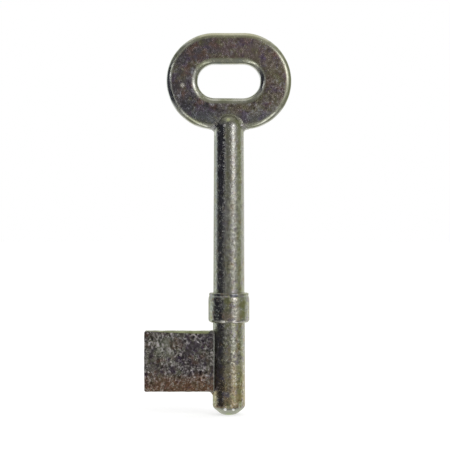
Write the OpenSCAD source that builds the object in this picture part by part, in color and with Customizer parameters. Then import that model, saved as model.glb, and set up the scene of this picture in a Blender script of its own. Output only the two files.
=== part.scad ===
// Lever lock key blank: a turned shank with a pressed collar, a slotted bow plate and an uncut bit.
// The origin is on the shank's axis, in the plane of the collar's lower face, which is the key's stop.
// +Z runs up to the bow, the bit points to -X and the front of the key faces -Y.

/* [Pin] */
// Length of the pin, from the collar's lower face to its flat end
pin_len = 18.74; // [18.2:0.02:26]
// Diameter of the pin where it leaves the collar
pin_d = 6.5; // [6.4:0.02:8]
// Diameter of the pilot, the short plain end of the pin
pilot_d = 6.6; // [6:0.02:7.5]
// Slope of the cone at the pin's end, in degrees from level
tip_slope = 39; // [30:1:50]
// Diameter of the flat end below the cone, before its edge is rounded
tip_flat_d = 2.8; // [2:0.1:4]
// Rounding between the flat end and the cone
tip_edge_r = 2.2; // [0.4:0.05:2.4]
// Rounding between the cone and the pilot
tip_shoulder_r = 1.2; // [0.4:0.05:1.4]

/* [Stem] */
// Height of the bow's lower edge over the collar's lower face
bow_edge_h = 39.2; // [25:0.1:60]
// Diameter of the stem just over the collar
stem_low_d = 6.34; // [5:0.02:6.4]
// Diameter of the stem at the bow, and of its round head
stem_top_d = 6.06; // [5:0.02:6.4]
// Height of the middle of the round head over the bow's lower edge
head_rise = 0.3; // [0.1:0.05:0.8]

/* [Collar] */
// Outer diameter of the collar
collar_d = 8.35; // [8:0.05:12]
// Height of the collar
collar_h = 6.05; // [3:0.05:9]
// Step between the pin and the slimmer seat that the collar is pressed on
seat_step = 0.05; // [0.02:0.01:0.2]
// Rounding of the collar's lower edge
collar_low_round = 0.65; // [0.2:0.05:0.7]
// Rounding of the collar's upper edge
collar_top_round = 0.4; // [0.2:0.05:0.5]
// Height of the slight lead below the upper edge
collar_lead_h = 1.1; // [0.8:0.1:2]
// How far the lead draws in
collar_lead_in = 0.15; // [0.05:0.05:0.2]

/* [Bow] */
// Width of the bow
bow_w = 25.3; // [21:0.1:36]
// Height of the bow
bow_h = 19.5; // [17:0.1:24]
// Width of the band round the opening
bow_band = 6.3; // [4:0.1:7]
// Thickness of the bow plate
bow_t = 3.2; // [2.8:0.1:4]
// Rounding of the bow's outer edges
bow_outer_round = 1.0; // [0.4:0.05:1.3]
// Rounding of the opening's edges
bow_slot_round = 1.1; // [0.4:0.05:1.3]
// Depth of the tang below the bow's edge
tang_depth = 1.5; // [0.5:0.1:4]

/* [Bit] */
// Reach of the bit from the shank's axis
bit_reach = 17.15; // [8:0.05:24]
// Height of the bit along the shank
bit_h = 12.4; // [6:0.1:12.9]
// Thickness of the bit
bit_t = 2.5; // [1.6:0.1:3.2]
// Gap between the collar's lower face and the bit
bit_gap = 1.67; // [0.5:0.01:2]
// Depth of the bit's root in the pin
bit_root = 2; // [1:0.1:2.6]
// Rounding of the bit's upper edges
bit_top_round = 0.9; // [0.3:0.05:0.95]
// Plain square length of the upper edge beside the pin
bit_square_len = 0.75; // [0.3:0.05:2]
// Rounding of the upright edges of the bit's end
bit_end_round = 0.3; // [0.1:0.05:0.7]
// Rounding of the two outer corners of the bit
bit_corner_r = 0.4; // [0.2:0.05:1.5]

/* [Joints] */
// Clearance between a plate and its slot in the shank, and in the collar's bore
joint_gap = 0.01; // [0.01:0.01:0.05]
// Leg of the seams at the bow, along each of the two faces that they join
bow_seam_leg = 0.6; // [0.3:0.05:0.9]
// Radius of the beads below the bow
bow_bead_r = 0.9; // [0.4:0.05:1.2]
// How far the beads below the bow stand past its two faces
bow_bead_over = 0.25; // [0.1:0.05:0.4]
// Leg of the seams along the bit, along each of the two faces that they join
bit_seam_leg = 0.5; // [0.4:0.05:1.2]
// Width of the web under the bit's root
web_w = 0.6; // [0.3:0.05:0.9]
// Height of the web under the bit's root
web_h = 0.95; // [0.4:0.05:1.1]
// Thickness of the web, across the bit
web_t = 1.9; // [1:0.1:2.2]
// Thickness of the beads and the web at their edges
seam_lip = 0.04; // [0.02:0.01:0.08]

/* [Hidden] */
$fn = 96;

pin_r = pin_d / 2;
pilot_r = pilot_d / 2;
stem_r = stem_top_d / 2;
seat_r = pin_r - seat_step;
collar_r = collar_d / 2;

// How far a cutting shape runs past what it cuts, and how deep a seam starts inside its round
over = 1;
bury = 0.4;

// Plain taper left between the web and the pilot's wall
web_clear = 0.05;

// Half the turn of a bead below the bow, before it is cut to its width
bead_turn = 60;

// Places along the shank's axis
tip_z = -pin_len;
cone_z = tip_z + (pilot_r - tip_flat_d / 2) * tan(tip_slope);
tip_shoulder_z = cone_z + tip_shoulder_r * tan(45 - tip_slope / 2);
bit_top_z = -bit_gap;
bit_low_z = bit_top_z - bit_h;
pilot_top_z = bit_low_z - web_h - web_clear;
head_z = bow_edge_h + head_rise;
tang_z = bow_edge_h - tang_depth;
bow_z = bow_edge_h + bow_h / 2;

// The bow's round ends
bow_r = bow_h / 2;
bow_slot_r = bow_r - bow_band;
bow_end_x = (bow_w - bow_h) / 2;

// The bit's root and the square stretch of its upper edge
bit_root_x = -(pin_r - bit_root);
bit_square_x = -(pin_r + bit_square_len);

// A strip across a section, from low to high, with both corners of its high side rounded
module round_nosed(low, high, thick, round_r) {
    translate([low, -thick / 2])
        square([high - low - round_r, thick]);
    translate([low, round_r - thick / 2])
        square([high - low, thick - 2 * round_r]);
    for (side = [-1, 1])
        translate([high - round_r, side * (thick / 2 - round_r)])
            circle(r = round_r);
}

// The pin's end, as a half section: the flat, its rounded edge, the cone, its rounded shoulder and
// the pilot's wall
module tip_section() {
    edge = [tip_flat_d / 2 - tip_edge_r * tan(tip_slope / 2), tip_z + tip_edge_r];
    shoulder = [pilot_r - tip_shoulder_r, tip_shoulder_z];
    out = [sin(tip_slope), -cos(tip_slope)];
    intersection() {
        translate(edge)
            circle(r = tip_edge_r);
        translate([0, tip_z])
            square([pilot_r, tip_edge_r]);
    }
    translate(shoulder)
        circle(r = tip_shoulder_r);
    polygon([[0, tip_z], [edge[0], tip_z], edge + tip_edge_r * out, shoulder + tip_shoulder_r * out,
        [pilot_r, tip_shoulder_z], [pilot_r, pilot_top_z], [0, pilot_top_z]]);
}

// The whole turned shape of the shank, before its slots are cut
module shank_round() {
    rotate_extrude() {
        tip_section();
        polygon([[0, pilot_top_z], [pilot_r, pilot_top_z], [pin_r, 0], [seat_r, 0], [seat_r, collar_h],
            [stem_low_d / 2, collar_h], [stem_r, head_z], [0, head_z]]);
        intersection() {
            translate([0, head_z])
                circle(r = stem_r);
            translate([0, head_z - over / 2])
                square([stem_r, stem_r + over]);
        }
    }
}

module shank() {
    color("gray")
        difference() {
            shank_round();
            // The slot through the head, for the bow and its tang
            translate([-stem_r - over, -bow_t / 2 - joint_gap, tang_z - joint_gap])
                cube([2 * (stem_r + over), bow_t + 2 * joint_gap, bow_r]);
            // The slot in the side of the pin, for the bit's root
            translate([-pilot_r - over, -bit_t / 2 - joint_gap, bit_low_z - joint_gap])
                cube([pilot_r + over + bit_root_x + joint_gap, bit_t + 2 * joint_gap,
                    bit_h + 2 * joint_gap]);
        }
}

module collar() {
    bore_r = seat_r + joint_gap;
    low_x = collar_r - collar_low_round;
    top_x = collar_r - collar_lead_in - collar_top_round;
    color("darkgray")
        rotate_extrude()
            intersection() {
                union() {
                    polygon([[bore_r, 0], [low_x, 0], [low_x, collar_low_round],
                        [collar_r, collar_low_round], [collar_r, collar_h - collar_lead_h],
                        [collar_r - collar_lead_in, collar_h - collar_top_round],
                        [top_x, collar_h - collar_top_round], [top_x, collar_h], [bore_r, collar_h]]);
                    translate([low_x, collar_low_round])
                        circle(r = collar_low_round);
                    translate([top_x, collar_h - collar_top_round])
                        circle(r = collar_top_round);
                }
                // Nothing reaches into the bore
                translate([bore_r, 0])
                    square([collar_r, collar_h]);
            }
}

// Section of the bow's band, from the opening's edge out to the bow's edge
module band_section() {
    middle = (bow_slot_r + bow_r) / 2;
    round_nosed(middle, bow_r, bow_t, bow_outer_round);
    translate([2 * middle, 0])
        mirror([1, 0])
            round_nosed(middle, bow_r, bow_t, bow_slot_round);
}

// The band, two half rings and two straight bars, lying in the XY plane
module band() {
    for (turn = [0, 180])
        rotate([0, 0, turn]) {
            translate([bow_end_x, 0, 0])
                rotate([0, 0, -90])
                    rotate_extrude(angle = 180)
                        band_section();
            translate([-bow_end_x, 0, 0])
                rotate([90, 0, 90])
                    linear_extrude(height = 2 * bow_end_x)
                        band_section();
        }
}

// The bow's tang, square edged and turned flush with the shank's head
module tang() {
    intersection() {
        translate([-stem_r - over, -bow_t / 2, tang_z])
            cube([2 * (stem_r + over), bow_t, tang_depth + bow_outer_round + bow_slot_round]);
        shank_round();
    }
}

module bow() {
    color("dimgray")
        union() {
            translate([0, 0, bow_z])
                rotate([90, 0, 0])
                    band();
            tang();
        }
}

module bit() {
    color("dimgray")
        intersection() {
            union() {
                // The blade, with its upper edges rounded
                translate([-bit_reach, 0, 0])
                    rotate([90, 0, 90])
                        linear_extrude(height = bit_reach + bit_square_x)
                            rotate([0, 0, 90])
                                round_nosed(bit_low_z, bit_top_z, bit_t, bit_top_round);
                // The square root beside and inside the pin
                translate([bit_square_x, -bit_t / 2, bit_low_z])
                    cube([bit_root_x - bit_square_x, bit_t, bit_h]);
            }
            // Rounded upright edges at the outer end
            translate([0, 0, bit_low_z - over])
                linear_extrude(height = bit_h + 2 * over)
                    mirror([1, 0])
                        round_nosed(-bit_root_x, bit_reach, bit_t, bit_end_round);
            // Rounded outer corners
            translate([0, bit_t, (bit_low_z + bit_top_z) / 2])
                rotate([90, 0, 0])
                    linear_extrude(height = 2 * bit_t)
                        mirror([1, 0])
                            round_nosed(-bit_root_x, bit_reach, bit_h, bit_corner_r);
        }
}

// Distance from a round's middle to the corner where a flat face beside its axis leaves the round
function corner_x(round_r, flat_y) = sqrt(pow(round_r, 2) - pow(flat_y, 2));

// Section of a flat-faced seam in the corner between a round and a flat face beside its axis.
// The round has its middle at the origin, and the flat face lies at the given height.
// The section starts inside the round, which is cut away from it later.
module seam_section(round_r, flat_y, leg) {
    foot = [corner_x(round_r, flat_y) + leg, flat_y];
    turn = asin(flat_y / round_r) + 2 * asin(leg / (2 * round_r));
    toe = round_r * [cos(turn), sin(turn)];
    polygon([foot - [leg + bury, 0], foot, toe + bury * (toe - foot) / norm(toe - foot)]);
}

// One seam on the bow's front face, round the head's cheek, above the bow's rounded lower edge
module bow_seam() {
    foot_x = corner_x(stem_r, bow_t / 2) + bow_seam_leg;
    start = asin((bow_outer_round - head_rise) / foot_x);
    translate([0, 0, head_z])
        rotate([90, 0, 0])
            rotate([0, 0, start])
                rotate_extrude(angle = 180 - 2 * start)
                    difference() {
                        seam_section(stem_r, bow_t / 2, bow_seam_leg);
                        circle(r = stem_r);
                    }
}

module bow_braze_front() {
    color("silver")
        bow_seam();
}

module bow_braze_back() {
    color("silver")
        mirror([0, 1, 0])
            bow_seam();
}

// One bead in the corner between the stem and the bow's lower edge, on the +X side
module bow_bead() {
    half_w = bow_t / 2 + bow_bead_over;
    cap = bow_bead_r / 2;
    difference() {
        intersection() {
            rotate([0, 0, -bead_turn])
                rotate_extrude(angle = 2 * bead_turn)
                    difference() {
                        translate([stem_r, bow_edge_h])
                            polygon([[-bury, -bow_bead_r], [bow_bead_r, -bow_bead_r], [bow_bead_r, 0],
                                [cap, cap], [-bury, 2 * cap]]);
                        translate([stem_r + bow_bead_r, bow_edge_h - bow_bead_r])
                            circle(r = bow_bead_r - seam_lip);
                    }
            translate([0, -half_w, tang_z - bow_bead_r])
                cube([stem_r + bow_bead_r + over, 2 * half_w, tang_depth + 3 * bow_bead_r]);
        }
        shank_round();
        translate([0, 0, bow_z])
            rotate([90, 0, 0])
                band();
    }
}

module bow_braze_right() {
    color("silver")
        bow_bead();
}

module bow_braze_left() {
    color("silver")
        mirror([1, 0, 0])
            bow_bead();
}

// One seam along the bit's root, on the front face
module bit_seam() {
    difference() {
        translate([0, 0, bit_low_z])
            linear_extrude(height = bit_h - bit_top_round)
                rotate([0, 0, 180])
                    seam_section(pin_r, bit_t / 2, bit_seam_leg);
        shank_round();
    }
}

module bit_braze_front() {
    color("silver")
        bit_seam();
}

module bit_braze_back() {
    color("silver")
        mirror([0, 1, 0])
            bit_seam();
}

module bit_braze_corner() {
    half_turn = asin(web_t / pilot_d);
    color("silver")
        difference() {
            rotate([0, 0, 180 - half_turn])
                rotate_extrude(angle = 2 * half_turn)
                    translate([pin_r, bit_low_z])
                        polygon([[-bury, 0], [web_w, 0], [web_w, -seam_lip], [seam_lip, -web_h],
                            [-bury, -web_h]]);
            shank_round();
        }
}

shank();
collar();
bow();
bit();
bow_braze_front();
bow_braze_back();
bow_braze_left();
bow_braze_right();
bit_braze_front();
bit_braze_back();
bit_braze_corner();
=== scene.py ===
import math

import bmesh
import bpy
from mathutils import Matrix, Vector, noise


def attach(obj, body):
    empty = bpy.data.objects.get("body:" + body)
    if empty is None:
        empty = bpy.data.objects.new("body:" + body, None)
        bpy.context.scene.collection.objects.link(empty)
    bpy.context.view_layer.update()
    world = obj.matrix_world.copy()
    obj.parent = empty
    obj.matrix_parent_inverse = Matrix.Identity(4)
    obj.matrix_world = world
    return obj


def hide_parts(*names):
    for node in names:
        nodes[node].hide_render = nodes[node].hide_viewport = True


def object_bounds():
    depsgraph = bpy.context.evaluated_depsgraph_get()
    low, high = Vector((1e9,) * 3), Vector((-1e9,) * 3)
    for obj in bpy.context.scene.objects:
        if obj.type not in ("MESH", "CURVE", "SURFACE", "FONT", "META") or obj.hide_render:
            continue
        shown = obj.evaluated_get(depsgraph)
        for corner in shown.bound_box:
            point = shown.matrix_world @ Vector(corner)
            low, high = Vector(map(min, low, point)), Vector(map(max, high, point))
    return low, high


# A lever lock key blank standing on its pin. Everything is in metres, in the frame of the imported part:
# the origin is on the shank's axis at the collar's lower face, the bow is up (+Z), the bit points to -X
# and the front of the key faces -Y.

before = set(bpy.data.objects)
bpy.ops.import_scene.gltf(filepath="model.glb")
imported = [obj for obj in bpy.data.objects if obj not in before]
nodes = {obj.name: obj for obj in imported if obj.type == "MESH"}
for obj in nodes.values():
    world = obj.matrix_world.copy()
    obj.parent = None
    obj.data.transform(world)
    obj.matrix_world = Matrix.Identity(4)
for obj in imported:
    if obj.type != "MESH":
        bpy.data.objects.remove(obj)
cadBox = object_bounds()
mm = 0.001
print("frame loaded, the CAD box is", cadBox)

# Camera

cameraSet = {
    "distance": 305 * mm,  # from the key's middle plane
    "sideways": -0.79 * mm,
    "height": 19.78 * mm,  # over the collar's lower face
    "seen": 91.46 * mm,  # width of the picture at the key's middle plane
}


def placeCamera():
    data = bpy.data.cameras.new("keyCamera")
    data.sensor_width = 36
    data.lens = data.sensor_width * cameraSet["distance"] / cameraSet["seen"]
    data.clip_start = 0.01
    data.clip_end = 20
    camera = bpy.data.objects.new("keyCamera", data)
    camera.location = (cameraSet["sideways"], -cameraSet["distance"], cameraSet["height"])
    camera.rotation_euler = (math.radians(90), 0, 0)
    bpy.context.scene.collection.objects.link(camera)
    bpy.context.scene.camera = camera


placeCamera()
bpy.context.scene.view_settings.view_transform = "Standard"
print("camera placed")

# Small helpers for node trees


def addNode(tree, kind, **settings):
    made = tree.nodes.new(kind)
    for name, value in settings.items():
        setattr(made, name, value)
    return made


def feed(tree, socket, value):
    # Joins a socket to another or gives it a value, where a colour comes without its alpha
    if isinstance(value, bpy.types.NodeSocket):
        tree.links.new(value, socket)
    elif value is not None:
        socket.default_value = (*value, 1) if socket.type == "RGBA" else value


def calc(tree, operation, *values):
    made = addNode(tree, "ShaderNodeMath", operation=operation)
    for socket, value in zip(made.inputs, values):
        feed(tree, socket, value)
    return made.outputs[0]


def remap(tree, value, low, high, toLow=0.0, toHigh=1.0, smooth=False):
    made = addNode(tree, "ShaderNodeMapRange")
    made.interpolation_type = "SMOOTHSTEP" if smooth else "LINEAR"
    names = ("Value", "From Min", "From Max", "To Min", "To Max")
    for name, given in zip(names, (value, low, high, toLow, toHigh)):
        feed(tree, made.inputs[name], given)
    return made.outputs["Result"]


def blendColours(tree, share, first, second, kind="MIX"):
    made = addNode(tree, "ShaderNodeMix", data_type="RGBA", blend_type=kind, clamp_factor=True)
    feed(tree, made.inputs[0], share)
    feed(tree, made.inputs[6], first)  # 6 and 7 are the colours A and B
    feed(tree, made.inputs[7], second)
    return made.outputs[2]


def grey(level):
    return level, level, level


def colourRamp(tree, value, stops):
    made = addNode(tree, "ShaderNodeValToRGB")
    elements = made.color_ramp.elements
    while len(elements) < len(stops):
        elements.new(0.5)  # its place is set below
    for element, (place, colour) in zip(elements, stops):
        element.position = place
        element.color = (*colour, 1)
    feed(tree, made.inputs[0], value)
    return made.outputs[0]


def splitVector(tree, vector):
    made = addNode(tree, "ShaderNodeSeparateXYZ")
    feed(tree, made.inputs[0], vector)
    return made.outputs


def noiseField(tree, vector, size, detail=2.0, roughness=0.5):
    # The size is in mm, or a socket that already gives a scale
    made = addNode(tree, "ShaderNodeTexNoise")
    feed(tree, made.inputs["Vector"], vector)
    feed(tree, made.inputs["Scale"], size if isinstance(size, bpy.types.NodeSocket) else 1 / (size * mm))
    made.inputs["Detail"].default_value = detail
    made.inputs["Roughness"].default_value = roughness
    return made.outputs["Fac"]


# Studio: white surroundings behind the key, a dimmer room in front of it, a softbox on the right

studio = {
    "ring": [  # level and tint round the horizon, by the angle from the camera's side, + to the right
        (-180, 1.0, "plain"), (-162, 0.85, "plain"), (-148, 0.63, "fresh"), (-136, 0.92, "aqua"),
        (-124, 0.97, "aqua"), (-108, 0.86, "aqua"), (-98, 0.08, "cool"), (-80, 0.03, "cool"),
        (-68, 0.07, "cool"), (-54, 0.04, "cool"), (-36, 0.1, "cool"), (-28, 0.44, "plain"),
        (-22, 0.4, "warm"), (-14, 0.2, "moss"), (-6, 0.23, "moss"), (8, 0.36, "warm"),
        (58, 0.5, "warm"), (76, 0.44, "olive"), (90, 0.4, "olive"), (100, 0.55, "olive"),
        (112, 0.82, "fresh"), (125, 0.98, "plain"), (180, 1.0, "plain"),
    ],
    "tints": {
        "plain": (1, 1, 1), "cool": (0.97, 0.97, 1.25), "warm": (1.03, 1.02, 0.93), "moss": (1.02, 1.04, 0.82),
        "olive": (1.0, 1.07, 0.7), "fresh": (0.99, 1.03, 0.93), "aqua": (0.95, 1.03, 1.0),
    },
    "overhead": 0.95, "overheadRise": (46, 66),  # level straight above, and the rises it sets in between
    "upper": 0.26, "upperRise": (20, 32),
    "underfootFront": 0.36, "underfootBack": 1.0, "underfootTurn": (75, 105), "underfootRise": (-28, -16),
    "forMatt": 0.75,  # level for matt surfaces
    "lights": [  # angle, rise, half width, half height, level
        (36, 9.5, 24, 22, 1.05),  # softbox
        (34, 17, 9, 11, 1.5), (37, 13, 24, 12, 0.8),  # its hot core
        (27, -40, 14, 24, 1.5), (-22, -40, 12, 24, 1.9),  # pale patches low in front
        (-110, -9, 26, 8, 0.5), (128, -9, 26, 8, 0.45),  # the table's edges far behind
        (-35, -6, 9, 9.5, -0.45),  # a dark patch on the left
        (-38, 14, 6, 7, 2.4),  # a spark on the left
    ],
    "lightCore": 0.6,  # share of a light's height before it fades
    "lampPower": 0.9, "lampDistance": 0.6, "lampTurn": 36, "lampTilt": 32, "lampSize": 0.45, "lampAim": 20 * mm,
    "floorMatt": 0.55, "floorGlow": 0.62, "floorSize": 3.0,
}


def makeWorld():
    world = bpy.data.worlds.new("studioWorld")
    bpy.context.scene.world = world
    world.use_nodes = True
    tree = world.node_tree
    tree.nodes.clear()
    x, y, z = splitVector(tree, addNode(tree, "ShaderNodeTexCoord").outputs["Generated"])
    angle = calc(tree, "DEGREES", calc(tree, "ARCTAN2", x, calc(tree, "MULTIPLY", y, -1)))
    rise = calc(tree, "DEGREES", calc(tree, "ARCSINE", z))
    stops = [((spot + 180) / 360, [level * part for part in studio["tints"][tint]])
             for spot, level, tint in studio["ring"]]
    ring = colourRamp(tree, remap(tree, angle, -180, 180), stops)
    underfoot = remap(tree, calc(tree, "ABSOLUTE", angle), *studio["underfootTurn"],
                      studio["underfootFront"], studio["underfootBack"], smooth=True)
    sky = blendColours(tree, remap(tree, rise, *studio["underfootRise"], 1, 0, smooth=True), ring, underfoot)
    upper = remap(tree, rise, *studio["upperRise"], smooth=True)
    sky = blendColours(tree, upper, sky, grey(studio["upper"]), kind="LIGHTEN")
    above = remap(tree, rise, *studio["overheadRise"], smooth=True)
    sky = blendColours(tree, above, sky, grey(studio["overhead"]))
    for side, height, halfWide, halfHigh, level in studio["lights"]:
        aside = calc(tree, "ABSOLUTE", calc(tree, "SUBTRACT", angle, side))
        over = calc(tree, "ABSOLUTE", calc(tree, "SUBTRACT", rise, height))
        box = calc(tree, "MULTIPLY", remap(tree, aside, 0, halfWide, 1, 0, smooth=True),
                   remap(tree, over, studio["lightCore"] * halfHigh, halfHigh, 1, 0, smooth=True))
        sky = blendColours(tree, 1, sky, calc(tree, "MULTIPLY", box, level), kind="ADD")
    sky = blendColours(tree, 1, sky, grey(0), kind="LIGHTEN")  # no level under nought
    path = addNode(tree, "ShaderNodeLightPath")
    shown = blendColours(tree, path.outputs["Is Diffuse Ray"], sky, grey(studio["forMatt"]))
    shown = blendColours(tree, path.outputs["Is Camera Ray"], shown, grey(1))
    background = addNode(tree, "ShaderNodeBackground")
    feed(tree, background.inputs["Color"], shown)
    out = addNode(tree, "ShaderNodeOutputWorld")
    feed(tree, out.inputs["Surface"], background.outputs[0])


def linkObject(name, mesh):
    made = bpy.data.objects.new(name, mesh)
    bpy.context.scene.collection.objects.link(made)
    return made


def makeFloor(level):
    shape = bmesh.new()
    bmesh.ops.create_grid(shape, x_segments=1, y_segments=1, size=studio["floorSize"],
                          matrix=Matrix.Translation((0, 0, level)))
    mesh = bpy.data.meshes.new("floor")
    shape.to_mesh(mesh)
    shape.free()
    material = bpy.data.materials.new("paleFloor")
    material.use_nodes = True
    tree = material.node_tree
    tree.nodes.clear()
    path = addNode(tree, "ShaderNodeLightPath")
    lift = calc(tree, "MAXIMUM", path.outputs["Is Camera Ray"], path.outputs["Is Glossy Ray"])
    lift = calc(tree, "MAXIMUM", lift, path.outputs["Is Transmission Ray"])
    matt = addNode(tree, "ShaderNodeBsdfDiffuse")
    feed(tree, matt.inputs["Color"], grey(studio["floorMatt"]))
    glow = addNode(tree, "ShaderNodeEmission")
    feed(tree, glow.inputs["Strength"], calc(tree, "MULTIPLY", lift, studio["floorGlow"]))
    both = addNode(tree, "ShaderNodeAddShader")
    feed(tree, both.inputs[0], matt.outputs[0])
    feed(tree, both.inputs[1], glow.outputs[0])
    out = addNode(tree, "ShaderNodeOutputMaterial")
    feed(tree, out.inputs["Surface"], both.outputs[0])
    mesh.materials.append(material)
    floor = linkObject("floor", mesh)
    floor.visible_glossy = False  # the metal shows the pale surroundings under it instead


def makeLamp():
    data = bpy.data.lights.new("softLamp", "AREA")
    data.size = studio["lampSize"]
    data.energy = studio["lampPower"]
    lamp = linkObject("softLamp", data)
    turn, tilt = math.radians(studio["lampTurn"]), math.radians(studio["lampTilt"])
    away = Vector((math.sin(turn) * math.cos(tilt), -math.cos(turn) * math.cos(tilt), math.sin(tilt)))
    lamp.location = away * studio["lampDistance"] + Vector((0, 0, studio["lampAim"]))
    lamp.rotation_mode = "QUATERNION"
    lamp.rotation_quaternion = away.to_track_quat("Z", "Y")
    lamp.visible_camera = False
    lamp.visible_glossy = False


makeWorld()
makeFloor(cadBox[0].z)
makeLamp()
print("studio made")

# Shared effects, each a node group that several metals use with their own values


def startGroup(name, inputs, outputs):
    tree = bpy.data.node_groups.new(name, "ShaderNodeTree")
    for label, kind, value in inputs:
        socket = tree.interface.new_socket(label, in_out="INPUT", socket_type=kind)
        if value is not None:
            socket.default_value = value
    for label, kind in outputs:
        tree.interface.new_socket(label, in_out="OUTPUT", socket_type=kind)
    return tree, addNode(tree, "NodeGroupInput").outputs, addNode(tree, "NodeGroupOutput").inputs


def sizeToScale(tree, millimetres):
    return calc(tree, "DIVIDE", 1 / mm, millimetres)


def shifted(tree, vector, shift):
    made = addNode(tree, "ShaderNodeVectorMath", operation="ADD")
    feed(tree, made.inputs[0], vector)
    feed(tree, made.inputs[1], shift)
    return made.outputs[0]


plating = {  # the levels of noise between which each mark sets in
    "violet": (0.5, 0.66), "olive": (0.5, 0.68), "brown": (0.53, 0.7),
    "oliveShift": (0.031, 0.017, 0.023), "brownShift": (-0.013, 0.029, 0.041),
    "lightSpecks": (0.53, 0.68), "darkSpecks": (0.47, 0.33), "dark": (0.03, 0.025, 0.035),
    "cloud": (0.41, 0.6, 0.1, 1.0), "cloudScale": 0.6,  # where the specks lie
}


def makeMottle():
    # Cloudy plating: patches of three tints on the main colour, with light and dark specks
    tree, given, put = startGroup("mottledPlating", [
        ("Vector", "NodeSocketVector", None),
        ("Main", "NodeSocketColor", (0.3, 0.3, 0.3, 1)),
        ("Violet", "NodeSocketColor", (0.3, 0.25, 0.35, 1)),
        ("Olive", "NodeSocketColor", (0.3, 0.3, 0.2, 1)),
        ("Brown", "NodeSocketColor", (0.3, 0.2, 0.1, 1)),
        ("Pale", "NodeSocketColor", (0.7, 0.69, 0.67, 1)),
        ("Patch mm", "NodeSocketFloat", 1.6),
        ("Speck mm", "NodeSocketFloat", 0.35),
        ("Specks", "NodeSocketFloat", 0.5),
    ], [("Colour", "NodeSocketColor"), ("Speck", "NodeSocketFloat")])
    vector = given["Vector"]
    beside = shifted(tree, vector, plating["oliveShift"])
    further = shifted(tree, vector, plating["brownShift"])
    patchScale = sizeToScale(tree, given["Patch mm"])
    violet = remap(tree, noiseField(tree, vector, patchScale, detail=3, roughness=0.6), *plating["violet"])
    olive = remap(tree, noiseField(tree, beside, patchScale, detail=4, roughness=0.65), *plating["olive"])
    brown = remap(tree, noiseField(tree, further, patchScale, detail=4, roughness=0.6), *plating["brown"])
    colour = blendColours(tree, violet, given["Main"], given["Violet"])
    colour = blendColours(tree, olive, colour, given["Olive"])
    colour = blendColours(tree, brown, colour, given["Brown"])
    fine = noiseField(tree, vector, sizeToScale(tree, given["Speck mm"]), roughness=0.6)
    cloudScale = calc(tree, "MULTIPLY", patchScale, plating["cloudScale"])
    cloud = remap(tree, noiseField(tree, further, cloudScale, detail=3, roughness=0.6), *plating["cloud"])
    amount = calc(tree, "MULTIPLY", cloud, given["Specks"])
    lightShare = calc(tree, "MULTIPLY", remap(tree, fine, *plating["lightSpecks"]), amount)
    darkShare = calc(tree, "MULTIPLY", remap(tree, fine, *plating["darkSpecks"]), amount)
    colour = blendColours(tree, lightShare, colour, given["Pale"])
    colour = blendColours(tree, darkShare, colour, plating["dark"])
    feed(tree, put["Colour"], colour)
    feed(tree, put["Speck"], fine)
    return tree


pitting = {"edge": (0.42, 0.1), "fieldSize": 1.1, "field": (0.45, 0.6)}  # a pit's wall, and where pits lie


def makePeel():
    # Small hollows and swells of a tumbled, plated surface
    tree, given, put = startGroup("peelAndPits", [
        ("Vector", "NodeSocketVector", None),
        ("Peel mm", "NodeSocketFloat", 0.6),
        ("Pit mm", "NodeSocketFloat", 0.3),
        ("Pits", "NodeSocketFloat", 1.0),
    ], [("Height", "NodeSocketFloat")])
    swell = noiseField(tree, given["Vector"], sizeToScale(tree, given["Peel mm"]), detail=3, roughness=0.55)
    cells = addNode(tree, "ShaderNodeTexVoronoi", feature="F1")
    feed(tree, cells.inputs["Vector"], given["Vector"])
    feed(tree, cells.inputs["Scale"], sizeToScale(tree, given["Pit mm"]))
    hollow = remap(tree, cells.outputs["Distance"], *pitting["edge"], smooth=True)
    field = remap(tree, noiseField(tree, given["Vector"], pitting["fieldSize"]), *pitting["field"])
    pit = calc(tree, "MULTIPLY", calc(tree, "MULTIPLY", hollow, field), given["Pits"])
    feed(tree, put["Height"], calc(tree, "SUBTRACT", swell, pit))
    return tree


scratching = {
    "turns": (0.6, -0.9, 1.9), "line": (0.61, 0.67), "bendSize": 2.0, "bend": 0.0015,
    "fieldSize": 1.6, "field": (0.46, 0.56),
}


def makeScratches():
    # Short fine scratches that run three ways, each a stretched noise cut to thin lines
    tree, given, put = startGroup("fineScratches", [
        ("Vector", "NodeSocketVector", None),
        ("Long mm", "NodeSocketFloat", 0.8),
        ("Thin mm", "NodeSocketFloat", 0.19),
    ], [("Mask", "NodeSocketFloat")])
    stretch = calc(tree, "DIVIDE", given["Thin mm"], given["Long mm"])
    scale = sizeToScale(tree, given["Thin mm"])
    bend = addNode(tree, "ShaderNodeTexNoise")
    feed(tree, bend.inputs["Vector"], given["Vector"])
    feed(tree, bend.inputs["Scale"], sizeToScale(tree, scratching["bendSize"]))
    bent = addNode(tree, "ShaderNodeMix", data_type="VECTOR", factor_mode="UNIFORM")
    feed(tree, bent.inputs[0], scratching["bend"])
    feed(tree, bent.inputs[4], given["Vector"])  # 4 and 5 are the vectors A and B
    feed(tree, bent.inputs[5], bend.outputs["Color"])
    lines = None
    for turn in scratching["turns"]:
        placed = addNode(tree, "ShaderNodeMapping", vector_type="POINT")
        feed(tree, placed.inputs["Vector"], bent.outputs[1])
        placed.inputs["Rotation"].default_value = (0, turn, 0)
        parts = splitVector(tree, placed.outputs[0])
        drawn = addNode(tree, "ShaderNodeCombineXYZ")
        feed(tree, drawn.inputs[0], calc(tree, "MULTIPLY", parts[0], stretch))
        feed(tree, drawn.inputs[1], parts[1])
        feed(tree, drawn.inputs[2], parts[2])
        line = remap(tree, noiseField(tree, drawn.outputs[0], scale, detail=1), *scratching["line"])
        lines = line if lines is None else calc(tree, "MAXIMUM", lines, line)
    field = remap(tree, noiseField(tree, given["Vector"], scratching["fieldSize"]), *scratching["field"])
    feed(tree, put["Mask"], calc(tree, "MULTIPLY", lines, field))
    return tree


mottleGroup = makeMottle()
peelGroup = makePeel()
scratchGroup = makeScratches()


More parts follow.
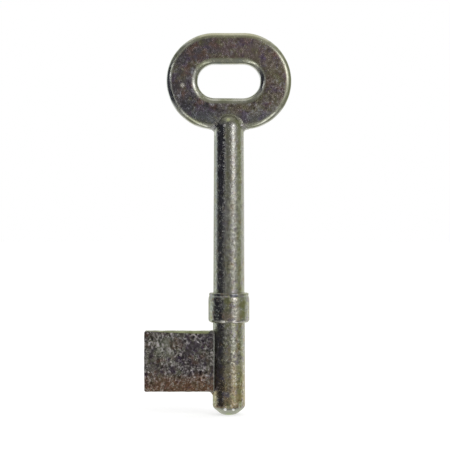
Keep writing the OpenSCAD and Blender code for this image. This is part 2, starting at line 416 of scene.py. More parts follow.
def placeGroup(tree, group, **values):
    # A socket's name is given with _ for its space
    made = addNode(tree, "ShaderNodeGroup", node_tree=group)
    for name, value in values.items():
        feed(tree, made.inputs[name.replace("_", " ")], value)
    return made.outputs


def startMetal(name):
    material = bpy.data.materials.new(name)
    material.use_nodes = True
    tree = material.node_tree
    shader = tree.nodes["Principled BSDF"]
    shader.inputs["Metallic"].default_value = 1.0
    place = addNode(tree, "ShaderNodeTexCoord").outputs["Object"]
    return material, tree, shader, place


def addBump(tree, height, depth, under=None):
    made = addNode(tree, "ShaderNodeBump")
    made.inputs["Strength"].default_value = 1.0
    made.inputs["Distance"].default_value = depth * mm
    feed(tree, made.inputs["Height"], height)
    feed(tree, made.inputs["Normal"], under)
    return made.outputs[0]


spotEdge = {"size": 1.2, "ragged": (0.3, 0.7, 0.6, 1.4), "core": 0.4}


def paintSpots(tree, colour, place, spots):
    # Ragged patches of another colour, each given by its place and radius in mm, its colour and its share
    across, _, height = splitVector(tree, place)
    ragged = remap(tree, noiseField(tree, place, spotEdge["size"], detail=3, roughness=0.6), *spotEdge["ragged"])
    for side, level, radius, tint, share in spots:
        aside = calc(tree, "POWER", calc(tree, "SUBTRACT", across, side * mm), 2)
        over = calc(tree, "POWER", calc(tree, "SUBTRACT", height, level * mm), 2)
        gap = calc(tree, "MULTIPLY", calc(tree, "SQRT", calc(tree, "ADD", aside, over)), ragged)
        near = remap(tree, gap, radius * mm, radius * spotEdge["core"] * mm, 0, share, smooth=True)
        colour = blendColours(tree, near, colour, tint)
    return colour


# Metal of the flat plates: dull and mottled on their faces, brighter and smoother on their rounded rims

plateFinish = {  # the same on both plates
    "wanderSize": 5.0, "wander": (0.0, 1.0, -7 * mm, 7 * mm), "tintShare": 0.8, "lowWander": 0.3, "lowOver": 0.55,
    "scratchColour": (0.62, 0.62, 0.58), "scratchLong": 0.8, "scratchThin": 0.19, "scratchDepth": 0.5,
    "speckNoise": (0.3, 0.7), "roughUnder": 0.06, "roughOver": 0.08,
    "rimPolish": (0.4, 0.6), "rimRougher": 0.12, "rimPeel": 0.3,
}
bowFinish = plateFinish | {
    "main": (0.22, 0.195, 0.21), "violet": (0.19, 0.14, 0.235), "olive": (0.29, 0.27, 0.18),
    "brown": (0.28, 0.175, 0.16), "patch": 2.0, "speck": 0.62, "specks": 0.6, "pale": (0.62, 0.63, 0.72),
    "leftTint": (0.165, 0.145, 0.18), "rightTint": (0.3, 0.24, 0.2), "tintFrom": -9 * mm, "tintTo": 9 * mm,
    "spots": [  # place in mm, radius in mm, colour, share
        (-6.8, 42.8, 4.6, (0.13, 0.135, 0.18), 0.6), (8.5, 42.5, 4.5, (0.36, 0.34, 0.32), 0.5),
        (1.0, 56.0, 5.0, (0.27, 0.17, 0.2), 0.45), (-9.4, 48.1, 0.6, (0.8, 0.76, 0.74), 0.9),
    ],
    "low": (0.225, 0.24, 0.275), "lowFrom": 43.8 * mm, "lowTo": 40.5 * mm, "lowShare": 0.7,
    "rim": (0.52, 0.52, 0.445), "rimDull": (0.33, 0.34, 0.24), "rimPatch": 2.6, "rimFrom": 0.998, "rimTo": 0.97,
    # Painted highlights and painted shade on the rims: darker at the slot's left end, its top and the right rim,
    # lighter at the slot's right end, the top rim and the left rim
    "rimPaintedLight": [
        (-6.2, 49.0, 3.0, (0.2, 0.2, 0.19), 0.75), (6.2, 49.0, 3.0, (0.8, 0.8, 0.82), 0.6),
        (0.0, 52.4, 6.0, (0.22, 0.26, 0.26), 0.7), (0.0, 58.6, 9.5, (0.57, 0.55, 0.38), 0.65),
        (12.5, 49.0, 8.0, (0.29, 0.29, 0.23), 0.85), (-12.5, 47.0, 7.0, (0.72, 0.73, 0.71), 0.7),
    ],
    "peel": 0.55, "peelDepth": 0.05, "pit": 0.42, "pits": 0.4,
    "faceRough": 0.25, "rimRough": 0.1, "scratch": 0.1,
}
bitFinish = plateFinish | {
    "main": (0.135, 0.12, 0.13), "violet": (0.07, 0.045, 0.1), "olive": (0.24, 0.24, 0.18),
    "brown": (0.18, 0.11, 0.09), "patch": 1.5, "speck": 0.55, "specks": 1.4, "pale": (0.72, 0.67, 0.71),
    "leftTint": (0.215, 0.19, 0.18), "rightTint": (0.14, 0.115, 0.13), "tintFrom": -14 * mm, "tintTo": -5 * mm,
    "spots": [
        (-13.0, -5.2, 3.6, (0.38, 0.39, 0.34), 0.8), (-8.2, -5.5, 3.4, (0.1, 0.085, 0.115), 0.45),
        (-3.6, -2.9, 2.4, (0.2, 0.19, 0.2), 0.4), (-3.6, -7.0, 2.4, (0.28, 0.27, 0.25), 0.6),
        (-3.8, -11.8, 2.8, (0.36, 0.31, 0.25), 0.7), (-6.0, -4.2, 2.2, (0.1, 0.08, 0.12), 0.5),
        (-7.2, -7.4, 1.9, (0.08, 0.06, 0.09), 0.5), (-12.0, -9.6, 2.5, (0.1, 0.075, 0.09), 0.45),
    ],
    "low": (0.29, 0.158, 0.1), "lowFrom": -10 * mm, "lowTo": -13.6 * mm, "lowShare": 0.9,
    "rim": (0.3, 0.32, 0.18), "rimDull": (0.2, 0.217, 0.11), "rimPatch": 1.8, "rimFrom": 0.97, "rimTo": 0.85,
    "rimPaintedLight": [],
    "peel": 0.6, "peelDepth": 0.09, "pit": 0.45, "pits": 0.7,
    "faceRough": 0.25, "rimRough": 0.24, "scratch": 0.7,
}


def plateMetal(name, look):
    material, tree, shader, place = startMetal(name)
    across, _, height = splitVector(tree, place)
    wander = remap(tree, noiseField(tree, place, look["wanderSize"]), *look["wander"])
    tint = remap(tree, calc(tree, "ADD", across, wander), look["tintFrom"], look["tintTo"], smooth=True)
    regional = blendColours(tree, tint, look["leftTint"], look["rightTint"])
    main = blendColours(tree, look["tintShare"], look["main"], regional)
    main = paintSpots(tree, main, place, look["spots"])
    wavy = calc(tree, "ADD", height, calc(tree, "MULTIPLY", wander, look["lowWander"]))
    low = remap(tree, wavy, look["lowFrom"], look["lowTo"], 0, look["lowShare"], smooth=True)
    main = blendColours(tree, low, main, look["low"])
    mottle = placeGroup(tree, mottleGroup, Vector=place, Main=main, Violet=look["violet"], Olive=look["olive"],
                        Brown=look["brown"], Pale=look["pale"], Patch_mm=look["patch"], Speck_mm=look["speck"],
                        Specks=look["specks"])
    colour = blendColours(tree, calc(tree, "MULTIPLY", low, look["lowOver"]), mottle["Colour"], look["low"])
    scratch = placeGroup(tree, scratchGroup, Vector=place, Long_mm=look["scratchLong"],
                         Thin_mm=look["scratchThin"])["Mask"]
    colour = blendColours(tree, calc(tree, "MULTIPLY", scratch, look["scratch"]), colour, look["scratchColour"])
    # The rims are told from the faces by how far the surface turns from the front or back
    facing = calc(tree, "ABSOLUTE", splitVector(tree, addNode(tree, "ShaderNodeNewGeometry").outputs["Normal"])[1])
    rim = remap(tree, facing, look["rimFrom"], look["rimTo"], smooth=True)
    polish = remap(tree, noiseField(tree, place, look["rimPatch"], detail=3, roughness=0.6), *look["rimPolish"])
    rimColour = blendColours(tree, polish, look["rimDull"], look["rim"])
    # Painted highlights and painted shade on the rims, from their list
    rimColour = paintSpots(tree, rimColour, place, look["rimPaintedLight"])
    feed(tree, shader.inputs["Base Color"], blendColours(tree, rim, colour, rimColour))
    rough = remap(tree, mottle["Speck"], *look["speckNoise"], look["faceRough"] - look["roughUnder"],
                  look["faceRough"] + look["roughOver"])
    rimRough = remap(tree, polish, 0, 1, look["rimRough"] + look["rimRougher"], look["rimRough"])
    rough = calc(tree, "ADD", calc(tree, "MULTIPLY", rough, calc(tree, "SUBTRACT", 1, rim)),
                 calc(tree, "MULTIPLY", rim, rimRough))
    feed(tree, shader.inputs["Roughness"], rough)
    peel = placeGroup(tree, peelGroup, Vector=place, Peel_mm=look["peel"], Pit_mm=look["pit"], Pits=look["pits"])
    relief = calc(tree, "SUBTRACT", peel["Height"], calc(tree, "MULTIPLY", scratch, look["scratchDepth"]))
    relief = calc(tree, "MULTIPLY", relief, remap(tree, rim, 0, 1, 1, look["rimPeel"]))
    feed(tree, shader.inputs["Normal"], addBump(tree, relief, look["peelDepth"]))
    return material


# Metal of the turned pieces: smooth near the bow, pitted and yellowed lower down, dulled by brazing at the head

turnedFinish = {
    "main": (0.36, 0.36, 0.34), "warm": (0.35, 0.35, 0.3), "warmHeight": (26 * mm, -2 * mm),
    "violet": (0.28, 0.25, 0.3), "olive": (0.34, 0.34, 0.2), "brown": (0.3, 0.22, 0.14),
    "patch": 1.3, "speck": 0.55, "specks": 0.65, "mottleShare": (0.55, 1.0),
    "low": (0.37, 0.3, 0.185), "lowHeight": (-4 * mm, -15 * mm),
    "filed": (0.6, 0.62, 0.55), "filedMetal": 0.3,  # bare filed metal of the bit's root seam
    "tip": (0.32, 0.33, 0.27), "tipHeight": (-17.0 * mm, -17.25 * mm),
    "head": (0.25, 0.25, 0.185), "headHeight": (39.9 * mm, 41.0 * mm), "headDull": 0.2,
    "headAside": (2.4 * mm, 0.96 * mm, 0.25, 1.0),
    "wornSheen": None,
    "grain": 0.5, "grainDepth": 0.04, "grainDull": 0.05, "flecks": (0.36, 0.64, 0.72, 1.22),
    "grainTo": (28 * mm, 24 * mm), "grainFrom": (5 * mm, 8 * mm),
    "grainSides": [(-0.85 * mm, -0.4 * mm), (2.7 * mm, 2.3 * mm)],
    "spots": [  # place in mm, radius in mm, colour, share
        # The first two are painted highlights: a yellow-green one on the head's nose and a lavender one on the stem
        # above the collar
        (-0.12, 40.95, 0.55, (0.5, 0.53, 0.3), 0.85), (1.2, 6.2, 0.9, (0.42, 0.4, 0.52), 0.4),
        (0.0, -18.75, 0.9, (0.31, 0.37, 0.2), 0.8), (-2.35, -15.0, 0.55, (0.6, 0.56, 0.4), 0.5),
        # The last two spots of the list, white, are painted highlights on the pin's shoulder
        (-2.35, -16.1, 0.55, (0.6, 0.56, 0.4), 0.5), (-0.75, -17.37, 0.38, (0.98, 0.98, 0.95), 1.0),
        (0.87, -17.37, 0.38, (0.98, 0.98, 0.95), 1.0),
    ],
    "smooth": 0.11, "dull": 0.265, "dullHeight": (34 * mm, 22 * mm), "edge": (0.97, 0.98, 0.88),
    "peel": 0.55, "peelDepth": 0.09, "peelShare": (0.6, 0.8), "pit": 0.3, "pits": 0.5,
}
collarFinish = turnedFinish | {
    "main": (0.325, 0.33, 0.305), "warm": (0.325, 0.328, 0.295), "low": (0.31, 0.3, 0.22), "dull": 0.17,
    # A smoother worn band along the lower edge; its lighter colour is also a painted highlight along that edge
    "specks": 0.35, "wornSheen": (0.6 * mm, 0.25 * mm), "wornSheenColour": (0.42, 0.41, 0.35), "wornRough": 0.06,
    "wornSize": 1.0, "wornPatch": (0.38, 0.58),
    "spots": [
        (-0.3, 4.6, 1.1, (0.3, 0.31, 0.12), 0.6), (2.6, 3.7, 1.1, (0.25, 0.24, 0.11), 0.6),
        (2.7, 1.9, 1.0, (0.25, 0.23, 0.13), 0.5), (-0.5, 1.4, 1.3, (0.33, 0.25, 0.22), 0.5),
        # A painted highlight below the top edge, then three dark spots that paint the shadow line under the stem
        (0.75, 4.95, 0.8, (0.6, 0.57, 0.53), 0.6), (0.5, 5.6, 0.4, (0.1, 0.1, 0.15), 0.7),
        (1.0, 5.6, 0.4, (0.1, 0.1, 0.15), 0.7), (1.5, 5.6, 0.4, (0.1, 0.1, 0.15), 0.7),
        # Two painted highlights on the lower edge
        (-1.25, 0.0, 0.8, (0.95, 0.93, 0.85), 0.9), (1.2, 0.0, 0.9, (0.95, 0.9, 0.86), 0.9),
        (1.4, 2.0, 1.8, (0.38, 0.36, 0.32), 0.5),
    ],
}
brazeFinish = turnedFinish | {"peel": 0.45, "peelDepth": 0.16, "specks": 0.8, "spots": []}


def turnedMetal(name, look, dulled=None, filed=0):
    # The shank goes from smooth to dull down its length and has a grain; the other pieces are dulled evenly
    shank = dulled is None
    material, tree, shader, place = startMetal(name)
    across, _, height = splitVector(tree, place)
    lower = remap(tree, height, *look["warmHeight"], smooth=True)
    main = blendColours(tree, lower, look["main"], look["warm"])
    main = blendColours(tree, remap(tree, height, *look["lowHeight"], smooth=True), main, look["low"])
    mottle = placeGroup(tree, mottleGroup, Vector=place, Main=main, Violet=look["violet"], Olive=look["olive"],
                        Brown=look["brown"], Patch_mm=look["patch"], Speck_mm=look["speck"],
                        Specks=look["specks"])
    colour = blendColours(tree, remap(tree, lower, 0, 1, *look["mottleShare"]), main, mottle["Colour"])
    colour = blendColours(tree, remap(tree, height, *look["tipHeight"], smooth=True), colour, look["tip"])
    head = calc(tree, "MULTIPLY", remap(tree, height, *look["headHeight"], smooth=True),
                remap(tree, calc(tree, "ABSOLUTE", across), *look["headAside"], smooth=True))
    colour = blendColours(tree, head, colour, look["head"])
    # The collar's worn band: smoother, and lighter in colour as a painted highlight along the lower edge
    if look["wornSheen"]:
        patchy = remap(tree, noiseField(tree, place, look["wornSize"], detail=3, roughness=0.6), *look["wornPatch"])
        wornSheen = calc(tree, "MULTIPLY", remap(tree, height, *look["wornSheen"], smooth=True), patchy)
        colour = blendColours(tree, wornSheen, colour, look["wornSheenColour"])
    # Patches of other colours, among them painted highlights and a painted shadow line
    colour = paintSpots(tree, colour, place, look["spots"])
    grainy = calc(tree, "MULTIPLY", remap(tree, height, *look["grainTo"], smooth=True),
                  remap(tree, height, *look["grainFrom"], smooth=True))
    for edge in look["grainSides"]:
        grainy = calc(tree, "MULTIPLY", grainy, remap(tree, across, *edge, smooth=True))
    grain = noiseField(tree, place, look["grain"], roughness=0.6)
    if shank:
        flecks = blendColours(tree, 1, colour, remap(tree, grain, *look["flecks"]), kind="MULTIPLY")
        colour = blendColours(tree, grainy, colour, flecks)
    feed(tree, shader.inputs["Base Color"], blendColours(tree, filed, colour, look["filed"]))
    shader.inputs["Metallic"].default_value = 1 - filed * (1 - look["filedMetal"])
    feed(tree, shader.inputs["Specular Tint"], look["edge"])
    dull = remap(tree, height, *look["dullHeight"], smooth=True) if shank else dulled
    rough = calc(tree, "ADD", look["smooth"], calc(tree, "MULTIPLY", dull, look["dull"] - look["smooth"]))
    rough = calc(tree, "ADD", rough, calc(tree, "MULTIPLY", grainy, look["grainDull"]))
    rough = calc(tree, "ADD", rough, calc(tree, "MULTIPLY", head, look["headDull"]))
    if look["wornSheen"]:
        rough = calc(tree, "SUBTRACT", rough, calc(tree, "MULTIPLY", wornSheen, look["dull"] - look["wornRough"]))
    feed(tree, shader.inputs["Roughness"], rough)
    peel = placeGroup(tree, peelGroup, Vector=place, Peel_mm=look["peel"], Pit_mm=look["pit"], Pits=look["pits"])
    depth = remap(tree, dull, 0, 1, *look["peelShare"]) if shank else dulled
    bump = addBump(tree, calc(tree, "MULTIPLY", peel["Height"], depth), look["peelDepth"])
    if shank:
        bump = addBump(tree, calc(tree, "MULTIPLY", grain, grainy), look["grainDepth"], bump)
    feed(tree, shader.inputs["Normal"], bump)
    return material


bowMetal = plateMetal("mottledBowPlate", bowFinish)
bitMetal = plateMetal("roughBitPlate", bitFinish)
shankMetal = turnedMetal("turnedShank", turnedFinish)
collarMetal = turnedMetal("turnedCollar", collarFinish, dulled=1.0)
brazeMetal = turnedMetal("platedBraze", brazeFinish, dulled=0.8)
rootMetal = turnedMetal("filedRootSeam", turnedFinish, dulled=1.0, filed=1)
nodes["shank"].material_slots[0].material = shankMetal
print("metals made")

# Helpers for meshes

tiny = 1e-7
joinWithin = 0.002 * mm  # vertices nearer than this become one
swellShift = 7.3  # keeps the swells of one surface apart


def noisyStep(place, swells, seed):
    # Height of an uneven surface at a place, from pairs of size and depth in mm
    return sum(noise.noise(place / (size * mm) + Vector((seed, index * swellShift, 0))) * depth * mm
               for index, (size, depth) in enumerate(swells))


def roughen(shape, swells, seed, share=None):
    shape.normal_update()
    steps = [noisyStep(vert.co, swells, seed) * (share(vert.co) if share else 1) for vert in shape.verts]
    for vert, step in zip(shape.verts, steps):
        vert.co += vert.normal * step


def fade(value, low, high):
    part = min(max((value - low) / (high - low), 0), 1)
    return part * part * (3 - 2 * part)


def finishPiece(shape, name, material, sharpAngle=50):
    bmesh.ops.remove_doubles(shape, verts=shape.verts, dist=joinWithin)
    bmesh.ops.recalc_face_normals(shape, faces=shape.faces)
    mesh = bpy.data.meshes.new(name)
    shape.to_mesh(mesh)
    shape.free()
    mesh.shade_smooth()
    mesh.set_sharp_from_angle(angle=math.radians(sharpAngle))
    mesh.materials.append(material)
    piece = linkObject(name, mesh)
    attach(piece, "root")
    return piece


def splitLong(shape, spacing, slack=1.5):
    for edge in [edge for edge in shape.edges if edge.calc_length() > slack * spacing]:
        bmesh.ops.subdivide_edges(shape, edges=[edge], cuts=int(edge.calc_length() / spacing))


def keepOutline(shape):
    bmesh.ops.delete(shape, geom=shape.faces[:], context="FACES_ONLY")


def sweep(shape, geom, steps, angle=0.0, cent=(0, 0, 0), axis=(0, 0, 1), move=(0, 0, 0), closed=False):
    step = Vector(move) / steps
    made = bmesh.ops.spin(shape, geom=geom, cent=cent, axis=axis, dvec=step, angle=math.radians(angle), steps=steps,
                          use_merge=closed, use_duplicate=False)
    return made["geom_last"]


# Bow: a flat oval ring with rounded rims, and the tang that sits in the head's slot

bowPlate = {
    "halfStraight": 2.9, "outerRadius": 9.75, "slotRadius": 3.45, "thick": 3.2, "centre": 48.95,
    "outerRound": 1.45, "slotRound": 1.65, "roundDepth": 0.55, "roundSteps": 14, "spacing": 0.2,
    "tangRadius": 3.03, "tangLow": 37.7, "tangHigh": 40.2, "tangSteps": 128,
    "clearAside": 3.4, "clearHigh": 43.2, "clearFade": 1.2,  # the plate is even round the head
    "swells": [(7.0, 0.035), (2.2, 0.016)], "seed": 3,
}


def makeBow():
    values = bowPlate
    low, high = values["slotRadius"] * mm, values["outerRadius"] * mm
    half, centre, spacing = values["halfStraight"] * mm, values["centre"] * mm, values["spacing"] * mm
    shape = bmesh.new()
    bmesh.ops.create_grid(shape, x_segments=1, y_segments=1, size=0.5)
    bmesh.ops.scale(shape, vec=(high - low, values["thick"] * mm / values["roundDepth"], 1), verts=shape.verts)
    bmesh.ops.translate(shape, vec=((high + low) / 2, 0, 0), verts=shape.verts)
    for side, radius in ((high, values["outerRound"]), (low, values["slotRound"])):
        corners = [vert for vert in shape.verts if abs(vert.co.x - side) < tiny]
        bmesh.ops.bevel(shape, geom=corners, offset=radius * mm, offset_type="OFFSET", affect="VERTICES",
                        segments=values["roundSteps"], profile=0.5, material=-1)
    bmesh.ops.scale(shape, vec=(1, values["roundDepth"], 1), verts=shape.verts)  # rims wider than they are deep
    splitLong(shape, spacing)
    keepOutline(shape)
    bmesh.ops.rotate(shape, cent=(0, 0, 0), matrix=Matrix.Rotation(math.radians(90), 3, "Y"), verts=shape.verts)
    bmesh.ops.translate(shape, vec=(half, 0, centre), verts=shape.verts)
    roundSteps = int(math.pi * high / spacing)
    straightSteps = int(2 * half / spacing)
    last = shape.verts[:] + shape.edges[:]
    for side in (1, -1):
        last = sweep(shape, last, roundSteps, angle=180, cent=(side * half, 0, centre), axis=(0, -1, 0))
        last = sweep(shape, last, straightSteps, move=(-side * 2 * half, 0, 0))
    bmesh.ops.remove_doubles(shape, verts=shape.verts, dist=joinWithin)
    bmesh.ops.recalc_face_normals(shape, faces=shape.faces)

    def clearOfHead(place):
        return fade(max(abs(place.x) - values["clearAside"] * mm, place.z - values["clearHigh"] * mm), 0,
                    values["clearFade"] * mm)

    roughen(shape, values["swells"], values["seed"], clearOfHead)
    # The tang, turned flush with the stem
    tang = bmesh.new()
    bmesh.ops.create_cone(tang, cap_ends=True, segments=values["tangSteps"],
                          radius1=values["tangRadius"] * mm, radius2=values["tangRadius"] * mm,
                          depth=(values["tangHigh"] - values["tangLow"]) * mm)
    bmesh.ops.translate(tang, vec=(0, 0, (values["tangHigh"] + values["tangLow"]) / 2 * mm), verts=tang.verts)
    for side in (1, -1):
        cut = bmesh.ops.bisect_plane(tang, geom=tang.verts[:] + tang.edges[:] + tang.faces[:], dist=tiny,
                                     plane_co=(0, side * values["thick"] / 2 * mm, 0), plane_no=(0, side, 0),
                                     clear_outer=True)
        rim = [part for part in cut["geom_cut"] if isinstance(part, bmesh.types.BMEdge)]
        bmesh.ops.contextual_create(tang, geom=rim)
    keep = bpy.data.meshes.new("tang")
    tang.to_mesh(keep)
    tang.free()
    shape.from_mesh(keep)
    bpy.data.meshes.remove(keep)
    piece = finishPiece(shape, "bowPlate", bowMetal)
    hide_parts("bow")


# Bit: an uncut rolled plate, rounded along its upper edge and its outer end, with its root in the pin

bitPlate = {
    "reach": 17.15, "root": 1.25, "low": -14.0, "high": -1.67, "thick": 2.5,
    "topRound": 1.3, "topSteps": 12, "roundDepth": 0.81, "endRound": 0.3, "endSteps": 4,
    "lowRound": 0.12, "lowSteps": 3, "cornerRound": 0.4, "cornerSteps": 5,
    "squareFrom": 4.3, "squareTo": 3.6, "spacing": 0.17, "clearFrom": 4.1, "clearTo": 3.3,
    "swells": [(5.0, 0.05), (1.3, 0.035), (0.55, 0.028)], "seed": 11,
    "waveSize": 1.1, "waveDepth": 0.07, "waveDown": 1.2, "waveFrom": 6.0, "waveTo": 12.0, "waveSeed": 5,
}


def makeBit():
    values = bitPlate
    # The rounds come out wider than they are deep, as the plate is drawn thicker first
    size = Vector((values["reach"] - values["root"], values["thick"] / values["roundDepth"],
                   values["high"] - values["low"])) * mm
    middle = Vector((-(values["reach"] + values["root"]) / 2 * mm, 0, (values["high"] + values["low"]) / 2 * mm))
    outer, low, high = -values["reach"] * mm, values["low"] * mm, values["high"] * mm
    shape = bmesh.new()
    bmesh.ops.create_cube(shape, size=1.0, matrix=Matrix.Translation(middle) @ Matrix.Diagonal((*size, 1)))

    def bevelEdges(chosen, radius, segments):
        edges = [edge for edge in shape.edges if chosen(edge)]
        bmesh.ops.bevel(shape, geom=edges, offset=radius * mm, offset_type="OFFSET", affect="EDGES",
                        segments=segments, profile=0.5, material=-1)

    def outerCorner(edge):
        across = abs(edge.verts[0].co.y - edge.verts[1].co.y) > tiny
        return across and all(abs(vert.co.x - outer) < tiny for vert in edge.verts)

    bevelEdges(outerCorner, values["cornerRound"], values["cornerSteps"])
    rounds = [
        (2, high, values["topRound"], values["topSteps"]), (2, low, values["lowRound"], values["lowSteps"]),
        (0, outer, values["endRound"], values["endSteps"]),
    ]
    for axis, limit, radius, segments in rounds:
        for face in (size.y / 2, -size.y / 2):
            bevelEdges(lambda edge: all(abs(vert.co[axis] - limit) < tiny and abs(vert.co.y - face) < tiny
                                        for vert in edge.verts), radius, segments)
    for axis, first, last in ((0, outer, -values["root"] * mm), (2, low, high)):
        count = int((last - first) / (values["spacing"] * mm))
        for step in range(1, count):
            place, away = Vector((0, 0, 0)), Vector((0, 0, 0))
            place[axis], away[axis] = first + (last - first) * step / count, 1
            bmesh.ops.bisect_plane(shape, geom=shape.verts[:] + shape.edges[:] + shape.faces[:], dist=tiny,
                                   plane_co=place, plane_no=away)
    # Beside the pin and in its slot the upper edge is square
    turn = Vector((size.y / 2 - values["topRound"] * mm, high - values["topRound"] * mm))
    for vert in shape.verts:
        square = fade(vert.co.x, -values["squareFrom"] * mm, -values["squareTo"] * mm)
        off = Vector((abs(vert.co.y) - turn.x, vert.co.z - turn.y))
        if square > 0 and off.x > 0 and off.y > 0:
            reach = 1 + square * (off.length / max(off.x, off.y) - 1)
            vert.co.y = math.copysign(turn.x + off.x * reach, vert.co.y)
            vert.co.z = turn.y + off.y * reach
    bmesh.ops.scale(shape, vec=(1, values["roundDepth"], 1), verts=shape.verts)

    def clearOfPin(place):
        return 1 - fade(place.x, -values["clearFrom"] * mm, -values["clearTo"] * mm)

    roughen(shape, values["swells"], values["seed"], clearOfPin)
    # The sheared upper edge runs a little unevenly at its outer end
    wave = [(values["waveSize"], values["waveDepth"])]
    for vert in shape.verts:
        near = fade(vert.co.z, high - values["waveDown"] * mm, high) * clearOfPin(vert.co)
        near *= fade(-vert.co.x, values["waveFrom"] * mm, values["waveTo"] * mm)
        vert.co.z += near * noisyStep(Vector((vert.co.x, 0, 0)), wave, values["waveSeed"])
    piece = finishPiece(shape, "bitPlate", bitMetal, sharpAngle=60)
    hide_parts("bit")


# Collar: a turned ring with a narrower lip on top

collarRing = {
    "bore": 3.21, "radius": 4.175, "height": 6.05, "leadRadius": 4.09, "lipRadius": 4.03, "grooveRadius": 3.97,
    "leadFrom": 4.7, "leadTo": 5.26, "groove": 5.38, "lipFrom": 5.5,
    "lowRound": 0.65, "leadRound": 0.35, "shoulderRound": 0.06, "grooveRound": 0.04, "topRound": 0.24,
    "roundSteps": 7, "steps": 200, "spacing": 0.35,
    "swells": [(2.5, 0.014)], "seed": 21, "evenTo": 3.5, "roughFrom": 4.0,  # the bore is even
}


def makeCollar():
    values = collarRing
    outline = [
        ("bore", 0, None), ("radius", 0, "lowRound"), ("radius", values["leadFrom"], "leadRound"),
        ("leadRadius", values["leadTo"], "shoulderRound"), ("grooveRadius", values["groove"], "grooveRound"),
        ("lipRadius", values["lipFrom"], "grooveRound"), ("lipRadius", values["height"], "topRound"),
        ("bore", values["height"], None),
    ]
    shape = bmesh.new()
    points = [shape.verts.new((values[radius] * mm, 0, level * mm)) for radius, level, _ in outline]
    shape.faces.new(points)
    places = [(point.co.copy(), rounding) for point, (_, _, rounding) in zip(points, outline) if rounding]
    for place, rounding in places:
        corner = [vert for vert in shape.verts if (vert.co - place).length < tiny]
        bmesh.ops.bevel(shape, geom=corner, offset=values[rounding] * mm, offset_type="OFFSET", affect="VERTICES",
                        segments=values["roundSteps"], profile=0.5, material=-1)
    splitLong(shape, values["spacing"] * mm)
    keepOutline(shape)
    sweep(shape, shape.verts[:] + shape.edges[:], values["steps"], angle=360, closed=True)
    bmesh.ops.remove_doubles(shape, verts=shape.verts, dist=joinWithin)
    bmesh.ops.recalc_face_normals(shape, faces=shape.faces)
    roughen(shape, values["swells"], values["seed"],
            lambda place: fade(place.xy.length, values["evenTo"] * mm, values["roughFrom"] * mm))
    piece = finishPiece(shape, "collarRing", collarMetal)
    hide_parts("collar")


# Brazing: a fillet of filler metal laid into the corner of two steel surfaces

brazeSeam = {
    "stem": 3.03, "headZ": 39.5, "bowLow": 39.2, "bowHalf": 1.6, "bowRound": 1.0,
    "pin": 3.25, "pilot": 3.3, "bitHalf": 1.25, "bitLow": -14.07, "bitHigh": -1.67, "bitTopGap": 0.05,
    "faceFrom": 8, "faceTurn": 164, "faceOnRim": 15.8,  # degrees round the head
    "beadTurn": 152, "beadOnFlat": 52, "beadLean": 0.8,  # degrees round the bow's lower rim
    # Legs in mm. A change gives the places it runs between, as shares of the seam's length from its end,
    # and the share of the leg that is left at the end and inside
    "faceLeg": 0.6, "faceChange": (0.08, 0.35, 1.0, 0.4), "faceHollow": 1.5,
    "beadLeg": 0.95, "beadChange": (0, 0.3, 0.6, 1.0), "beadHollow": 2.0,
    "bitLeg": 0.12, "pinLeg": 0.2, "rootChange": (0, 0.12, 0.3, 1.0), "rootHollow": 1.0,
    "webOut": 0.62, "webDown": 0.95, "webHalf": 1.1, "webChange": (0, 0.2, 0.3, 1.0), "webHollow": 1.35,
    "sink": 0.03, "firstFall": 6, "secondFall": 3, "lumps": 0.3, "lumpsAlong": 9, "lumpsOver": 1.5,
    "thick": 0.14, "around": 90, "aroundRoot": 140, "aroundWeb": 30, "across": 14,
}


def laySeam(name, node, corner, legs, seed, hollow, around=brazeSeam["around"], material=brazeMetal):
    # corner(t) gives the corner's place in mm and the outward directions of both surfaces, for t from 0 to 1
    values = brazeSeam
    shape = bmesh.new()
    bmesh.ops.create_grid(shape, x_segments=around, y_segments=values["across"], size=0.5)
    for vert in shape.verts:
        along, over = vert.co.x + 0.5, min(max(vert.co.y + 0.5, 0), 1)
        place, first, second = corner(along)
        mixed = first.dot(second)
        toFirst = (second - first * mixed).normalized()  # along the first surface, away from the second
        toSecond = (first - second * mixed).normalized()
        wave = noise.noise(Vector((along * values["lumpsAlong"], over * values["lumpsOver"], seed)))
        lump = 1 + values["lumps"] * wave
        firstLeg, secondLeg = (leg(along) for leg in legs)
        spot = place + toFirst * firstLeg * lump * (1 - over) ** hollow
        spot += toSecond * secondLeg * lump * over ** hollow
        # Both edges dip under their surfaces, the second one also by the shank's roundness
        spot -= first * values["sink"] * (1 - over) ** values["firstFall"]
        dip = values["sink"] + (secondLeg * lump) ** 2 / (2 * values["pin"])
        spot -= second * dip * over ** values["secondFall"]
        vert.co = spot * mm
    bmesh.ops.recalc_face_normals(shape, faces=shape.faces)
    place, first, second = corner(0.5)
    shape.faces.ensure_lookup_table()
    middle = min(shape.faces, key=lambda face: (face.calc_center_median() - place * mm).length)
    if middle.normal.dot(first + second) < 0:
        bmesh.ops.reverse_faces(shape, faces=shape.faces)
    bmesh.ops.solidify(shape, geom=shape.faces[:], thickness=values["thick"] * mm)
    piece = finishPiece(shape, name, material, sharpAngle=70)
    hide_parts(node)


def stemCorner(across, level, first):
    # Place on the stem or on its round head, with the bow's direction there
    values = brazeSeam
    over = max(level - values["headZ"], 0)
    out = math.sqrt(max(values["stem"] ** 2 - across ** 2 - over ** 2, 0))
    return Vector((out, across, level)), first, Vector((out, across, over)).normalized()


def beadCorner(along):
    # Under the bow's lower rim on the right, from the front face round to the back face
    values = brazeSeam
    turn = math.radians((2 * along - 1) * values["beadTurn"])
    flat = values["bowHalf"] - values["bowRound"]
    limit = math.radians(values["beadOnFlat"])
    if abs(turn) < limit:
        return stemCorner(flat * turn / limit, values["bowLow"], Vector((0, 0, -1)))
    lean = (abs(turn) - limit) * values["beadLean"]
    side = math.copysign(1, turn)
    across = side * (flat + values["bowRound"] * math.sin(lean))
    level = values["bowLow"] + values["bowRound"] * (1 - math.cos(lean))
    return stemCorner(across, level, Vector((0, side * math.sin(lean), -math.cos(lean))))


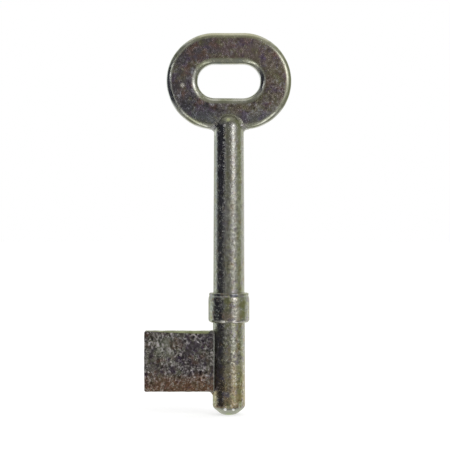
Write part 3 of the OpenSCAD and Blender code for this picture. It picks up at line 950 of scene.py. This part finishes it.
def faceCorner(along):
    # Round the head on the bow's front face
    values = brazeSeam
    out = math.sqrt(values["stem"] ** 2 - values["bowHalf"] ** 2)
    degrees = values["faceFrom"] + values["faceTurn"] * along
    turn = math.radians(degrees)
    place = Vector((out * math.cos(turn), -values["bowHalf"], values["headZ"] + out * math.sin(turn)))
    head = (place - Vector((0, 0, values["headZ"]))).normalized()
    if min(degrees, 180 - degrees) < values["faceOnRim"]:
        lean = math.acos(min(max(1 - (place.z - values["bowLow"]) / values["bowRound"], -1), 1))
        return place, Vector((0, -math.sin(lean), -math.cos(lean))), head
    return place, Vector((0, -1, 0)), head


def bitCorner(along):
    # Up the bit's root on its front face
    values = brazeSeam
    level = values["bitLow"] + (values["bitHigh"] - values["bitTopGap"] - values["bitLow"]) * along
    out = math.sqrt(values["pin"] ** 2 - values["bitHalf"] ** 2)
    place = Vector((-out, -values["bitHalf"], level))
    return place, Vector((0, -1, 0)), Vector((-out, -values["bitHalf"], 0)).normalized()


def webCorner(along):
    # Round the pin under the bit's root
    values = brazeSeam
    across = values["webHalf"] * (2 * along - 1)
    out = math.sqrt(values["pilot"] ** 2 - across ** 2)
    return Vector((-out, across, values["bitLow"])), Vector((0, 0, -1)), Vector((-out, across, 0)).normalized()


def mirrored(corner, axis):
    def other(along):
        parts = [part.copy() for part in corner(along)]
        for part in parts:
            part[axis] = -part[axis]
        return parts
    return other


def legAlong(leg, low, high, atEnd, inside, bothEnds=True):
    def length(along):
        fromEnd = min(along, 1 - along) if bothEnds else 1 - along
        return leg * (atEnd + (inside - atEnd) * fade(fromEnd, low, high))
    return length


def makeSeams():
    values = brazeSeam
    faceLegs = [legAlong(values["faceLeg"], *values["faceChange"])] * 2
    beadLegs = [legAlong(values["beadLeg"], *values["beadChange"])] * 2
    rootLegs = [legAlong(values[leg], *values["rootChange"], bothEnds=False) for leg in ("bitLeg", "pinLeg")]
    webLegs = [legAlong(values[leg], *values["webChange"]) for leg in ("webOut", "webDown")]
    laySeam("headSeamFront", "bow_braze_front", faceCorner, faceLegs, 1, values["faceHollow"])
    laySeam("headSeamBack", "bow_braze_back", mirrored(faceCorner, 1), faceLegs, 2, values["faceHollow"])
    laySeam("bowBeadRight", "bow_braze_right", beadCorner, beadLegs, 3, values["beadHollow"])
    laySeam("bowBeadLeft", "bow_braze_left", mirrored(beadCorner, 0), beadLegs, 4, values["beadHollow"])
    laySeam("rootSeamFront", "bit_braze_front", bitCorner, rootLegs, 5, values["rootHollow"],
            around=values["aroundRoot"], material=rootMetal)
    laySeam("rootSeamBack", "bit_braze_back", mirrored(bitCorner, 1), rootLegs, 6, values["rootHollow"],
            around=values["aroundRoot"], material=rootMetal)
    laySeam("rootWeb", "bit_braze_corner", webCorner, webLegs, 7, values["webHollow"], around=values["aroundWeb"])


makeBow()
makeBit()
makeCollar()
makeSeams()
print("pieces made")
